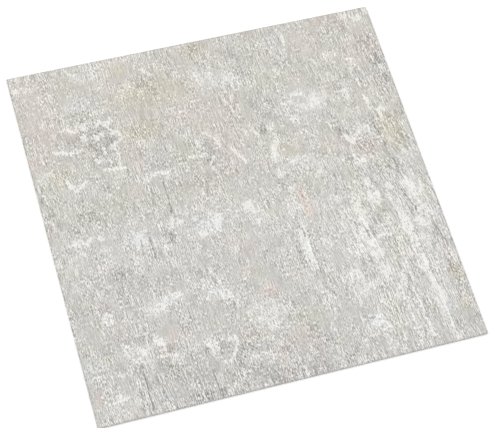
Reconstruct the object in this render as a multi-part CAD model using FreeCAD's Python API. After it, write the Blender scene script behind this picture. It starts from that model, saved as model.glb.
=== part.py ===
"""A square vinyl floor tile, cut from one calendered sheet of filled PVC.

The tile lies flat with its printed face up. Its origin is the middle of the back, on the floor,
with X and Y along its sides and Z up. All sizes are in millimetres.
"""

import FreeCAD, Part
import os

# The tile's size between opposite cut edges, and its whole thickness with print and wear layer.
tile_length = 305.0
tile_width = 305.0
thickness = 1.5

# The steel cutting rule is bent round each corner, so no corner of the tile is quite sharp.
corner_radius = 0.8
# The rule comes down on the printed face and draws its edge over before it cuts.
rolled_edge_radius = 0.3

UP = FreeCAD.Vector(0, 0, 1)


def corner_arc(along_x, along_y):
    """The quarter round at one corner, which lies on the given side of each axis (1 or -1)."""
    centre = FreeCAD.Vector(
        along_x * (tile_length / 2 - corner_radius),
        along_y * (tile_width / 2 - corner_radius),
        0,
    )
    middle = FreeCAD.Vector(along_x, along_y, 0).normalize() * corner_radius
    ends = [
        FreeCAD.Vector(along_x * corner_radius, 0, 0),
        FreeCAD.Vector(0, along_y * corner_radius, 0),
    ]
    if along_x != along_y:
        ends.reverse()
    return Part.Arc(centre + ends[0], centre + middle, centre + ends[1]).toShape()


def cut_outline():
    """The line that the cutting rule follows, round the tile against the clock from above."""
    corners = [(1, 1), (-1, 1), (-1, -1), (1, -1)]
    arcs = [corner_arc(x, y) for x, y in corners]
    edges = []
    for arc, following in zip(arcs, arcs[1:] + arcs[:1]):
        edges.append(arc)
        start = arc.Vertexes[-1].Point
        end = following.Vertexes[0].Point
        edges.append(Part.LineSegment(start, end).toShape())
    return Part.Wire(edges)


def cut_blank():
    """The tile as cut, with square edges, standing on its back."""
    return Part.Face(cut_outline()).extrude(UP * thickness)


def with_rolled_edge(blank):
    """The blank with the edge of its printed face rounded over, all the way round."""
    printed_face_edges = [
        edge for edge in blank.Edges if edge.BoundBox.ZMin > thickness * 0.99
    ]
    return blank.makeFillet(rolled_edge_radius, printed_face_edges)


def write_part(shape, name):
    """Writes one piece to parts/NAME.step, once it is known to be a sound closed solid."""
    if len(shape.Solids) != 1 or not shape.isValid():
        raise ValueError(name + " is not one valid solid")
    shape.exportStep(os.path.join("parts", name + ".step"))
    box = shape.optimalBoundingBox(False)
    print(
        f"{name}: {box.XLength:.2f} x {box.YLength:.2f} x {box.ZLength:.2f} mm,"
        f" {shape.Volume / 1000:.2f} cm3, {len(shape.Faces)} faces"
    )


os.makedirs("parts", exist_ok=True)
vinyl_tile = with_rolled_edge(cut_blank())
write_part(vinyl_tile, "vinyl_tile")
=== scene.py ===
"""The looks of one square vinyl floor tile: its limed print, embossed face, cut edges and back.

The print is a pale grey ground under a fine upright grain, with blots of limewash, worn grey and
faint tints. The grain is pressed into the wear layer in register with the print, so one field
drives both relief and colour. Sizes are in millimetres until a mesh or a light is made.
"""

import logging
import math
from collections.abc import Iterable
from dataclasses import dataclass, field
from enum import Enum
from typing import Any

import bpy
import numpy as np
from mathutils import Matrix, Vector


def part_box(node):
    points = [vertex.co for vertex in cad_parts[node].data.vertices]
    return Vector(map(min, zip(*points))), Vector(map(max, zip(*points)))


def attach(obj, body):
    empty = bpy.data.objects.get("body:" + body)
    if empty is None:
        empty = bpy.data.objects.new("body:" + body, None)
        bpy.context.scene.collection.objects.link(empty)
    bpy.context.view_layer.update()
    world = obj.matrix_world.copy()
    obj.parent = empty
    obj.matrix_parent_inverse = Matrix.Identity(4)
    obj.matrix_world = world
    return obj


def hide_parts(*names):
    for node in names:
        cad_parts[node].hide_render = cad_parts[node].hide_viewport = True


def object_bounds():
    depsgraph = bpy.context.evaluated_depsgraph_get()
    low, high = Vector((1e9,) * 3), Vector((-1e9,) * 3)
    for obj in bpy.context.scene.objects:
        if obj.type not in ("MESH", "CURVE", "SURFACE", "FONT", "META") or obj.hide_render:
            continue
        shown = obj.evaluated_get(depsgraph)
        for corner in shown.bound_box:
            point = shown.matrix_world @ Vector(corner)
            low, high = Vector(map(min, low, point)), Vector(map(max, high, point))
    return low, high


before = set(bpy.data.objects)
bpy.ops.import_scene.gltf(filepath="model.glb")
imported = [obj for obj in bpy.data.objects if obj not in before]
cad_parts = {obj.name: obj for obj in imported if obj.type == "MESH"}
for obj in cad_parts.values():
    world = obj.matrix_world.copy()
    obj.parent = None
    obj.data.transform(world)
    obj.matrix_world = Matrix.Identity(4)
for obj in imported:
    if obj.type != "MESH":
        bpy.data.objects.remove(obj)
CAD_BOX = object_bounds()

MM = 0.001
TILE_NODE = "vinyl_tile"
TILE_BODY = "root"
GRAIN_PLACE = "grain"

log = logging.getLogger("vinyl_tile")

Colour = tuple[float, float, float]


def linear(red: float, green: float, blue: float) -> tuple[float, float, float, float]:
    """Turns a colour given in display steps of 0 to 255 into Blender's linear light.

    Args:
        red, green, blue: The colour's steps.

    Returns:
        The linear colour with an alpha of 1.
    """
    steps = (red / 255, green / 255, blue / 255)
    return (*((s / 12.92 if s <= 0.04045 else ((s + 0.055) / 1.055) ** 2.4) for s in steps), 1.0)


class Layer(Enum):
    """What lies over the print's ground. Each is a mask over the sheet, kept on the mesh."""

    LIMEWASH = "limewash"
    WORN_GREY = "worn_grey"
    OCHRE = "ochre"
    ROSE = "rose"
    OLIVE = "olive"
    SLATE = "slate"
    BLUSH = "blush"
    COMBED = "combed"
    STILL = "still"
    LIME_MARK = "lime_mark"
    CRACK = "crack"
    FIBRE = "fibre"


@dataclass(frozen=True)
class Sheet:
    """The points of the printed sheet, in millimetres from its middle, and random fields on them."""

    x: np.ndarray
    y: np.ndarray

    LATTICE = 256

    def noise(self, across: float, along: float, seed: int) -> np.ndarray:
        """Smooth random field of one grain size.

        A random direction stands at each corner of a lattice. The field is the distance from the
        corner along that direction, blended between the four corners by 6t^5 - 15t^4 + 10t^3.

        Args:
            across: The lattice's spacing along X.
            along: The lattice's spacing along Y.
            seed: Picks the random directions.

        Returns:
            Values of about -1 to 1, one for each point.
        """
        angles = np.random.default_rng(seed).uniform(0, math.tau, (self.LATTICE, self.LATTICE))
        u, v = self.x / across, self.y / along
        column, row = np.floor(u).astype(int), np.floor(v).astype(int)
        u, v = u - column, v - row

        def corner(right: int, up: int) -> np.ndarray:
            """The field of the lattice corner so many steps right and up of the point's cell."""
            angle = angles[(row + up) % self.LATTICE, (column + right) % self.LATTICE]
            return np.cos(angle) * (u - right) + np.sin(angle) * (v - up)

        fade_u = u ** 3 * (u * (u * 6 - 15) + 10)
        fade_v = v ** 3 * (v * (v * 6 - 15) + 10)
        low = corner(0, 0) * (1 - fade_u) + corner(1, 0) * fade_u
        high = corner(0, 1) * (1 - fade_u) + corner(1, 1) * fade_u
        return (low * (1 - fade_v) + high * fade_v) * math.sqrt(2)

    def along_grain(self) -> "Sheet":
        """The same sheet with the lean of its grain taken out, so that X is constant on a fibre.

        The fibres lean right as they run down, by a steady slope and by more in the right half,
        where the lean eases off above and below the middle as the hyperbolic tangent does.

        Returns:
            The sheet with its points slid along X.
        """
        steady_lean, right_lean = 0.06, 0.15
        reach = 45.0
        right = np.clip((self.x - 60) / 40, 0, 1)
        right = right * right * (3 - 2 * right)
        lean = steady_lean * self.y + right_lean * right * reach * np.tanh(self.y / reach)
        wander = 2.5 * self.noise(38, 55, seed=3) + 0.7 * self.noise(11, 26, seed=4)
        return Sheet(self.x + lean + wander, self.y)


@dataclass(frozen=True)
class Blot:
    """A soft ragged blot of one ink: an ellipse at x, y, so wide and tall, leaning by degrees."""

    x: float
    y: float
    wide: float
    tall: float
    strength: float = 1.0
    lean: float = 0.0

    SPREAD = 0.7

    def cover(self, ragged: Sheet) -> np.ndarray:
        """How much ink each point gets: strength times a smooth step from the rim to the middle.

        Args:
            ragged: The sheet, its points pushed about so that round forms come out ragged.

        Returns:
            The ink at each point, from 0 outside the blot to its strength in the middle.
        """
        turn = math.radians(self.lean)
        dx, dy = ragged.x - self.x, ragged.y - self.y
        across = (dx * math.cos(turn) + dy * math.sin(turn)) / (self.wide / 2 + self.SPREAD)
        along = (dy * math.cos(turn) - dx * math.sin(turn)) / (self.tall / 2 + self.SPREAD)
        inside = np.clip(1.45 - np.hypot(across, along), 0, 1)
        return self.strength * inside * inside * (3 - 2 * inside)


@dataclass(frozen=True)
class Mark:
    """A thin mark of the print through a few points, with one width along its whole run."""

    points: tuple[tuple[float, float], ...]
    width: float
    strength: float = 1.0

    SOFTNESS = 2.4
    HOLD = 0.35

    def cover(self, ragged: Sheet) -> np.ndarray:
        """How much ink each point gets: a slope that passes one half at the mark's rim.

        A run along X lies between the sheet's rows of points, which are further apart than its
        columns, so it gains the hold on each side and isn't lost.

        Args:
            ragged: The sheet, its points pushed about so that straight lines come out wavy.

        Returns:
            The ink at each point, from 0 to the mark's strength.
        """
        nearest = np.full(ragged.x.shape, np.inf)
        for (x0, y0), (x1, y1) in zip(self.points, self.points[1:]):
            run_x, run_y = x1 - x0, y1 - y0
            share = (ragged.x - x0) * run_x + (ragged.y - y0) * run_y
            share = np.clip(share / (run_x ** 2 + run_y ** 2), 0, 1)
            away = np.hypot(ragged.x - x0 - share * run_x, ragged.y - y0 - share * run_y)
            hold = self.HOLD * abs(run_x) / math.hypot(run_x, run_y)
            nearest = np.minimum(nearest, away - hold)
        return self.strength * np.clip(0.5 + (self.width / 2 - nearest) / self.SOFTNESS, 0, 1)


def blots(*rows: tuple[float, ...]) -> tuple[Blot, ...]:
    """Makes blots. A row is x, y, wide and tall, then strength and lean where it has them."""
    return tuple(Blot(*row) for row in rows)


def marks(*rows: tuple[Any, ...]) -> tuple[Mark, ...]:
    """Makes marks. A row is width and strength, then the points."""
    return tuple(Mark(tuple(points), width, strength) for width, strength, *points in rows)


# Chalky white patches, in which the lime lies on flecks and curls.
LIMEWASH = blots(
    # The far left quarter: rows of white flecks round the darkest wear.
    (-146, 139, 10, 5), (-145, 149, 14, 7, 0.6), (-128, 132, 6, 12, 0.4),
    (-97, 138, 15, 9, 0.6, -30), (-88, 128, 12, 9, 0.5), (-60, 122, 13, 10, 0.7),
    (-32, 133, 5, 9, 0.7), (-5, 123, 8, 20, 0.6), (-104, 114, 26, 12, 0.6), (-115, 104, 20, 5, 0.6),
    (-116, 96, 15, 7, 0.8, -25), (-103, 94, 8, 6, 0.8, -40), (-93, 95, 4, 6), (-89, 97, 3, 6, 0.9),
    (-84, 94, 6, 5, 0.7), (-104, 84, 3, 6), (-95, 83, 6, 6), (-81, 86, 8, 5, 0.5),
    (-76, 82, 3, 9, 0.6), (-80, 102, 7, 74, 0.25), (-112, 59, 14, 8, 0.4), (-97, 61, 8, 5, 0.6),
    (-90, 61, 4, 4), (-107, 52, 7, 3, 0.7), (-146, 57, 10, 8, 0.7), (-137, 60, 8, 3, 0.6),
    (-130, 38, 16, 12, 0.3), (-131, 22, 14, 8, 0.4), (-87, 43, 16, 6, 0.6), (-65, 39, 11, 6, 0.8),
    (-59, 68, 15, 6, 0.6), (-35, 77, 8, 5, 0.4), (-21, 36, 4, 8, 0.6), (-15, 103, 12, 7, 0.6),
    (-19, 60, 4, 6), (-25, 94, 18, 10, 0.3),
    # The far right quarter: a soft cloud at its left end, then flecks and broken rings.
    (11, 113, 38, 20, 0.72), (24, 112, 12, 7, 0.3), (60, 108, 10, 11, 0.6), (106, 112, 9, 15, 0.6),
    (124, 104, 12, 15, 0.5), (138, 143, 20, 14, 0.5), (112, 79, 8, 6), (111, 72, 7, 7, 0.8),
    (98, 97, 10, 8, 0.5), (78, 78, 46, 20, 0.64), (70, 66, 26, 14, 0.4), (72, 86, 9, 4, 0.8),
    (30, 57, 4, 4), (41, 59, 5, 7), (27, 62, 5, 6, 0.6), (20, 66, 9, 5, 0.4), (62, 62, 14, 8, 0.5),
    (41, 44, 8, 9, 0.9), (38, 36, 6, 8, 0.8), (37, 29, 4, 8, 0.8), (62, 47, 8, 5, 0.6),
    (113, 43, 10, 7, 0.9), (128, 69, 5, 10, 0.6), (134, 56, 11, 8), (149, 62, 8, 10, 0.5),
    (143, 9, 14, 13, 0.6), (62, 24, 30, 14, 0.7), (46, 30, 24, 28, 0.3), (39, 16, 6, 7, 0.9),
    (31, 5, 6, 7, 0.6), (68, 10, 7, 6, 0.7), (43, 4, 6, 5, 0.8), (84, 28, 8, 7, 0.5),
    (108, 57, 24, 6, 0.5),
    # The near left quarter: the long row of flecks, the bluish clouds and single blots.
    (-137, -3, 14, 4, 0.8), (-125, -4, 9, 6, 0.8), (-114, -4, 5, 7, 0.7), (-111, -13, 9, 5, 0.6),
    (-130, -15, 7, 8, 0.6), (-57, -4, 5, 8), (-49, -4, 7, 3, 0.9), (-28, -11, 26, 22, 0.45),
    (-22, -11, 4, 16, 0.45), (-37, -19, 12, 3, 0.4), (-39, -5, 6, 4, 0.45), (-9, -5, 10, 12, 0.5),
    (-89, -9, 22, 22, 0.35), (-82, -14, 16, 24, 0.35, 4), (-67, -24, 5, 6, 0.8),
    (-118, -45, 6, 5, 0.7), (-140, -41, 12, 10, 0.4), (-90, -34, 16, 14, 0.4),
    (-70, -62, 13, 5, 0.6, 20), (-85, -67, 16, 10, 0.6), (-92, -73, 14, 7, 0.4),
    (-38, -69, 19, 14, 0.45), (-48, -72, 3, 5, 0.9), (-27, -75, 14, 6, 0.5), (-92, -97, 8, 9),
    (-102, -102, 11, 6, 0.8), (-115, -98, 20, 11, 0.4), (-105, -109, 14, 7, 0.5),
    (-80, -113, 8, 9, 0.7), (-126, -116, 4, 5, 0.9), (-72, -99, 10, 10, 0.5),
    (-65, -108, 14, 7, 0.5), (-54, -110, 8, 20, 0.7), (-40, -109, 6, 5, 0.9),
    (-25, -128, 18, 8, 0.5), (-5, -119, 12, 8, 0.5), (-6, -98, 26, 28, 0.82),
    (-20, -84, 14, 16, 0.4), (-20, -14, 290, 46, 0.25), (-131, -134, 9, 8, 0.7),
    (-128, -142, 32, 16, 0.5), (-148, -82, 5, 18, 0.5), (-140, -104, 8, 9, 0.6),
    (-45, -144, 9, 14, 0.5), (-136, -117, 6, 10, 0.4),
    # The near right quarter: the worn white band with its streaks, and calm plaster left of it.
    (10, -12, 12, 20, 0.5, 4), (6, -4, 4, 8, 0.4), (3, -2, 8, 8, 0.5), (35, -14, 6, 16, 0.5),
    (101, -4, 6, 8, 0.8), (103, -19, 9, 16, 0.9), (88, -26, 8, 22, 0.5, 8),
    (137, -20, 18, 32, 0.75, 10), (122, -40, 6, 42, 0.6, 6), (138, -46, 16, 16, 0.65),
    (148, -42, 8, 14, 0.5), (86, -50, 7, 16, 0.6, 12), (90, -64, 8, 18, 0.4, 12),
    (93, -84, 6, 24, 0.5, 4), (122, -59, 8, 26, 0.75, 4), (123, -86, 5, 32, 0.7, 4),
    (126, -125, 7, 56, 0.65, 1), (134, -80, 13, 32, 0.5, 6), (134, -112, 12, 30, 0.4, 4),
    (103, -93, 10, 20, 0.35, 4), (102, -126, 7, 48, 0.3, 4), (39, -52, 7, 32, 0.8, 2),
    (27, -47, 8, 16, 0.5), (31, -76, 14, 16, 0.4), (69, -80, 10, 8, 0.6), (70, -93, 20, 16, 0.6),
    (69, -120, 16, 14, 0.5), (79, -127, 5, 10, 0.7), (77, -143, 8, 13, 0.5), (55, -47, 8, 8, 0.4),
    (37, -145, 5, 13, 0.6), (50, -104, 10, 12, 0.3), (41, -8, 6, 18, 0.5),
    (95, -60, 110, 150, 0.2, 4), (60, -50, 60, 60, 0.2), (88, 76, 20, 16, 0.3),
    (-80, 130, 6, 44, 0.2), (-82, 146, 50, 16, 0.4), (-120, 43, 18, 8, 0.5), (103, 13, 12, 8, 0.8),
    (-128, -4, 44, 6, 0.25), (90, -60, 64, 50, 0.25), (100, -110, 70, 60, 0.2),
    (-141, -21, 14, 12, 0.5), (-110, -22, 10, 8, 0.4), (73, -15, 14, 6, 0.4), (118, -13, 6, 9, 0.6),
    (40, -105, 6, 60, 0.4), (133, -58, 10, 24, 0.4, 6), (78, -128, 10, 30, 0.4),
    (-76, -67, 34, 9, 0.5, 20), (-37, -70, 26, 13, 0.4, -20), (-124, -72, 9, 9, 0.6),
    (-113, -106, 26, 18, 0.4), (-60, 148, 20, 8, 0.4), (141, 146, 8, 14, 0.5),
)

# The white curls, streaks and broken rings, drawn one by one.
LIME_MARKS = marks(
    (1.6, 0.8, (-135, 152), (-137, 145), (-140, 138)),
    (1.8, 0.8, (-107, 151), (-103, 145), (-97, 141)), (1.8, 0.8, (-85, 151), (-84, 134)),
    (1.4, 0.9, (-46, 137), (-43, 133), (-38, 130)),
    (1.5, 1.0, (-119, 98), (-116, 96), (-113, 93), (-110, 92)),
    (1.3, 0.95, (-110, 95), (-107, 99), (-105, 94), (-102, 93), (-100, 97)),
    (1.8, 0.95, (-95, 93), (-92, 95), (-90, 98), (-88, 94), (-85, 92)),
    (1.4, 0.9, (-83, 94), (-81, 99)), (1.3, 0.85, (-104, 88), (-104, 83), (-100, 80), (-97, 80)),
    (1.5, 0.95, (-96, 86), (-94, 83), (-94, 80)), (1.2, 0.9, (-94, 86), (-89, 85)),
    (1.6, 0.9, (-84, 90), (-82, 86), (-78, 85), (-76, 81)), (1.2, 0.8, (-108, 88), (-107, 81)),
    (2.0, 1.0, (-131, 78), (-125, 76), (-118, 74), (-109, 75)), (1.2, 0.8, (-142, 77), (-137, 78)),
    (1.7, 1.0, (-86, 72), (-82, 75), (-77, 78)), (1.5, 0.9, (-93, 74), (-92, 68)),
    (1.4, 0.85, (-101, 64), (-96, 63)), (2.0, 0.9, (-84, 71), (-82, 63), (-83, 55)),
    (2.2, 1.0, (-96, 54), (-90, 53), (-80, 52)), (1.4, 0.8, (-142, 60), (-137, 61), (-135, 57)),
    (1.8, 0.95, (-126, 48), (-124, 44), (-121, 41)), (2.0, 1.0, (-118, 43), (-113, 47)),
    (2.0, 1.0, (-59, 41), (-54, 42), (-50, 39), (-47, 41)), (1.3, 0.9, (-28, 70), (-25, 63)),
    (1.8, 0.9, (-19, 62), (-19, 57)), (1.5, 1.0, (-12, 67), (-8, 66), (-6, 62)),
    (2.0, 1.0, (-5, 60), (-3, 57), (-2, 53)), (1.8, 0.95, (-27, 49), (-22, 48), (-14, 47)),
    (1.4, 0.95, (-9, 45), (-13, 41), (-13, 37), (-11, 32)),
    (1.2, 0.85, (-8, 36), (-3, 37), (3, 37), (4, 32)), (1.0, 0.8, (-10, 30), (-2, 29)),
    (1.6, 1.0, (6, 49), (8, 46), (9, 43)), (2.0, 1.0, (10, 41), (13, 38), (14, 33)),
    (1.4, 0.95, (27, 61), (29, 58), (31, 55)), (1.0, 0.85, (28, 50), (30, 46)),
    (1.0, 0.8, (20, 62), (22, 55)), (1.4, 0.95, (40, 62), (42, 58), (44, 62)),
    (1.2, 0.9, (44, 53), (42, 49)), (1.0, 0.8, (35, 36), (38, 27)), (1.0, 0.8, (42, 34), (44, 29)),
    (2.0, 0.8, (73, 148), (75, 140), (75, 132)), (1.4, 0.8, (68, 121), (68, 112)),
    (1.4, 0.8, (72, 116), (74, 109)), (1.4, 0.9, (93, 114), (95, 106)),
    (1.6, 1.0, (113, 118), (113, 112)), (1.2, 0.9, (112, 98), (113, 91)),
    (1.2, 0.9, (124, 89), (123, 83)), (1.4, 0.9, (120, 108), (122, 105), (125, 107)),
    (1.6, 0.8, (131, 140), (132, 133)), (1.4, 0.8, (43, 53), (41, 47)),
    (1.4, 0.8, (69, 50), (74, 43)), (3.4, 1.0, (98, 39), (101, 34), (103, 31)),
    (2.2, 1.0, (103, 32), (107, 37), (110, 40)), (1.6, 0.9, (119, 43), (121, 37), (122, 30)),
    (2.4, 0.8, (99, 28), (99, 20), (101, 15), (107, 13)), (1.2, 1.0, (127, 34), (126, 27)),
    (2.6, 0.9, (124, 71), (126, 60), (127, 54)), (1.2, 0.8, (137, 67), (138, 61)),
    (1.6, 0.9, (-129, -70), (-125, -67), (-121, -69), (-121, -73), (-125, -75), (-129, -71)),
    (1.6, 1.0, (-94, -109), (-88, -110), (-82, -111)),
    (3.0, 1.0, (-94, -97), (-91, -99), (-89, -101)), (2.0, 0.9, (-118, -95), (-114, -97)),
    (1.8, 0.9, (-59, -106), (-55, -111), (-54, -118)), (1.4, 0.85, (-51, -107), (-50, -113)),
    (1.4, 0.85, (-49, -122), (-47, -127)), (1.6, 0.9, (-41, -109), (-37, -107)),
    (1.4, 0.85, (-26, -127), (-18, -125), (-13, -128)), (1.2, 0.8, (-147, -113), (-138, -115)),
    (1.4, 0.85, (-47, -73), (-43, -67)), (1.4, 0.85, (-35, -73), (-27, -76)),
    (1.8, 0.9, (-70, -62), (-65, -64)), (1.4, 0.85, (-80, -70), (-73, -68)),
    (1.4, 0.9, (59, 111), (62, 108)), (1.4, 0.85, (104, 117), (105, 108)),
    (1.2, 0.85, (109, 110), (110, 105)), (1.4, 0.9, (123, 108), (126, 103)),
    (1.2, 0.85, (130, 107), (132, 103)), (1.2, 0.9, (123, 88), (124, 80)),
    (1.2, 0.85, (128, 97), (131, 90)), (1.8, 0.9, (111, 78), (113, 73)),
    (1.4, 0.85, (125, 70), (128, 63)), (1.0, 0.8, (70, 87), (75, 85)),
    (1.2, 0.85, (57, 79), (61, 77)), (2.4, 1.0, (-36, -107), (-34, -112), (-37, -117), (-43, -125)),
    (1.0, 0.8, (-28, -113), (-18, -114), (-9, -117)),
    (1.6, 0.7, (-16, -135), (-9, -127), (-3, -121)), (1.2, 0.6, (2, -113), (8, -108), (13, -101)),
    (1.6, 0.8, (-47, -13), (-47, -19)), (2.0, 0.85, (115, -16), (117, -30), (119, -44), (120, -58)),
    (2.2, 0.9, (96, -54), (101, -53), (106, -54)), (1.6, 0.85, (108, -35), (110, -60), (111, -96)),
    (1.9, 1.0, (110, -108), (112, -145)), (2.2, 1.0, (42, -32), (42, -68)),
    (2.0, 0.85, (125, -60), (126, -90), (128, -120), (129, -151)),
    (2.2, 1.0, (88, -34), (91, -50), (95, -70)), (1.6, 0.9, (99, -96), (101, -120), (102, -148)),
    (1.8, 0.9, (133, -8), (137, -30), (141, -50)), (1.6, 0.9, (78, -40), (81, -58)),
    (2.0, 0.9, (104, -2), (106, -14)), (1.2, 0.7, (38, -114), (40, -121)),
    (1.6, 0.9, (18, -127), (17, -135)), (1.8, 0.9, (8, -144), (9, -151)),
    (1.0, 0.8, (90, -109), (92, -117)), (1.2, 0.9, (146, -77), (148, -89)),
    (1.0, 0.8, (144, -116), (147, -124)), (1.2, 0.7, (87, -5), (89, -18)),
    (1.6, 0.7, (87, -22), (90, -36)),
)

# Patches where the lime is rubbed off down to a darker grey.
WORN_GREY = blots(
    (-104, 105, 18, 9), (-110, 100, 14, 4, 0.8), (-94, 90, 22, 6), (-86, 79, 12, 10, 0.7),
    (-98, 75, 10, 14, 0.7), (-88, 58, 9, 9, 0.7), (-113, 87, 14, 12, 0.4), (-45, 122, 22, 10, 0.4),
    (-55, 47, 16, 12, 0.5), (-14, 50, 10, 6, 0.8), (-12, 42, 8, 8, 0.8), (-16, 58, 6, 8, 0.6),
    (-5, 33, 10, 7, 0.6), (-117, 16, 16, 8, 0.4), (-147, 15, 10, 12, 0.4), (-131, 6, 12, 9, 0.6),
    (-20, 128, 14, 5, 0.5), (-30, 28, 30, 10, 0.3), (-120, 30, 16, 8, 0.3), (-140, 38, 6, 14, 0.4),
    (-124, 86, 10, 8, 0.3), (-56, 80, 34, 18, 0.45), (-48, 113, 26, 30, 0.5), (0, 143, 18, 12, 0.7),
    (-130, 14, 46, 16, 0.35), (-146, -11, 12, 10, 0.6), (-60, -16, 16, 14, 0.5),
    (-75, 80, 80, 50, 0.2), (144, 102, 20, 56, 0.6), (49, 147, 12, 10, 0.6),
    (121, 147, 12, 10, 0.6), (31, 118, 8, 40, 0.6), (16, 88, 10, 14, 0.5), (36, 76, 18, 13, 0.6),
    (33, 87, 14, 11, 0.6), (34, 60, 9, 7), (62, 118, 8, 8, 0.7), (35, 113, 9, 12, 0.4),
    (27, 132, 12, 7, 0.5), (40, 130, 14, 14, 0.4), (52, 50, 14, 9, 0.5), (94, 44, 7, 12, 0.6, 10),
    (111, 25, 20, 14, 0.8), (143, 28, 9, 18, 1.0, 6), (141, 44, 6, 18, 0.7, 6),
    (125, 42, 5, 16, 1.0, 8), (143, 82, 16, 12, 0.7), (145, 102, 12, 18, 0.5),
    (140, 122, 16, 14, 0.5), (110, 106, 7, 8, 0.6), (111, 66, 8, 10, 0.7), (124, 82, 10, 8, 0.5),
    (129, 10, 7, 20, 0.8, 10), (115, 5, 18, 9, 0.6), (37, 8, 12, 5, 0.7, -20), (47, 8, 8, 5, 0.5),
    (74, 124, 8, 8, 0.5), (-103, -7, 12, 7, 0.5), (-61, -13, 12, 14, 0.5), (-88, -41, 7, 7, 0.7),
    (-100, -35, 14, 9, 0.6), (-110, -41, 14, 10, 0.6), (-105, -56, 14, 14, 0.5),
    (-127, -61, 14, 9, 0.8), (-134, -34, 14, 12, 0.5), (-130, -102, 12, 9, 0.8),
    (-121, -88, 16, 12, 0.6), (-84, -100, 9, 18, 0.5), (-92, -105, 14, 6, 0.6), (-60, -112, 6, 10),
    (-47, -113, 7, 10, 0.7), (-88, -123, 18, 14, 0.6), (-34, -80, 12, 12, 0.7),
    (-20, -83, 5, 10, 0.7), (-25, -118, 26, 6, 0.7), (-24, -109, 20, 5, 0.6),
    (-34, -97, 14, 12, 0.4), (-35, -126, 8, 10, 0.6), (-127, -111, 12, 7, 0.6),
    (-70, -133, 14, 12, 0.4), (-72, -88, 16, 9, 0.4), (-18, -142, 18, 14, 0.5),
    (-76, -148, 40, 6, 0.4), (-68, -50, 16, 12, 0.3), (109, -12, 9, 12, 0.8),
    (108, -31, 11, 16, 0.6, 6), (88, -54, 4, 3, 0.9), (94, -50, 3, 14, 0.8, 10),
    (115, -90, 5, 12, 0.8), (106, -66, 6, 18, 0.7, 4), (143, -67, 9, 8, 0.8),
    (143, -90, 8, 22, 0.9, 6), (147, -105, 10, 10, 0.9), (144, -122, 9, 18, 0.8, 4),
    (145, -139, 12, 8, 0.8), (117, -122, 11, 12, 0.5), (107, -110, 9, 7, 0.7),
    (133, -137, 9, 6, 0.7), (33, -40, 5, 7, 0.6), (33, -53, 4, 14, 0.8), (27, -62, 12, 6, 0.4),
    (24, -86, 8, 8, 0.5), (35, -127, 5, 8, 0.7), (50, -142, 10, 7, 0.6), (30, -3, 8, 10, 0.4),
    (14, -94, 10, 14, 0.4), (95, 38, 4, 76, 0.6, 2), (47, -66, 5, 50, 0.4, 2), (54, 1, 16, 12, 0.5),
    (0, -128, 8, 12, 0.6), (23, -117, 9, 26, 0.5), (17, -141, 10, 16, 0.4),
    (-11, -146, 14, 14, 0.9), (-27, -136, 16, 8, 0.6), (-30, -128, 170, 50, 0.3),
    (-103, 82, 34, 50, 0.3), (-25, 42, 60, 40, 0.25), (0, -148, 120, 10, 0.4),
    (-146, -62, 14, 40, 0.4), (-105, -42, 30, 26, 0.3), (1, 146, 12, 12, 0.4),
    (125, 137, 8, 20, 0.6), (150, 52, 6, 14), (48, 60, 6, 20, 0.4), (82, 118, 4, 40, 0.4),
    (-4, 50, 16, 12, 0.4), (-15, 25, 60, 12, 0.3), (-102, 18, 44, 24, 0.3), (58, -10, 20, 12, 0.4),
    (132, 0, 8, 12, 0.6), (-88, -124, 12, 18, 0.4), (-60, -136, 60, 28, 0.2),
    (-38, -125, 8, 20, 0.4), (26, -135, 9, 26, 0.4), (-85, -148, 70, 8, 0.4), (33, -62, 6, 10, 0.6),
    (24, -148, 60, 5, 0.5), (85, -149, 30, 4, 0.4),
)

# Thin dark cracks.
CRACKS = marks(
    (1.4, 1.0, (-109, -111), (-109.4, -126), (-109, -149)),
    (1.2, 0.8, (-115, -124), (-115.5, -148)), (1.2, 0.8, (-94, -112), (-95, -132)),
    (1.4, 1.0, (-77, -7), (-77, -16), (-76, -31)), (1.1, 0.8, (-84, -8), (-85, -26)),
    (1.3, 0.9, (-54.5, 33), (-54, 20), (-54.8, 4)), (1.3, 0.9, (-59, -129), (-58, -149)),
    (1.0, 1.0, (127, -18), (130, -27), (133, -38)), (0.9, 0.8, (131, -2), (131, -12)),
    (0.8, 0.8, (120, -8), (123, -22)), (0.9, 0.9, (125, -42), (126, -60)),
    (1.0, 1.0, (127, -52), (129, -63)), (1.0, 1.0, (142, -52), (146, -67)),
    (0.8, 0.8, (90, -38), (95, -54)), (1.0, 1.0, (123, 45), (126, 34), (127, 22)),
    (0.9, 0.9, (128, 18), (130, 6)), (1.0, 0.9, (127, 57), (130, 50)),
    (0.9, 0.9, (93, 51), (97, 39)), (0.9, 0.8, (141, 66), (142, 52), (143, 40)),
    (1.3, 1.0, (43, -40), (43.4, -72)), (1.0, 0.8, (41, 82), (47, 85)),
    (0.9, 0.7, (33, 89), (37, 81)), (1.0, 0.8, (34, 10), (41, 6)),
    (0.9, 0.8, (142, -78), (145, -92)), (0.9, 0.8, (139, -86), (142, -98)),
    (0.7, 0.6, (99, -40), (104, -62)), (0.8, 0.6, (-131, -8), (-132, -16)),
    (0.9, 0.8, (-60, -108), (-57, -120)),
)

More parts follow.
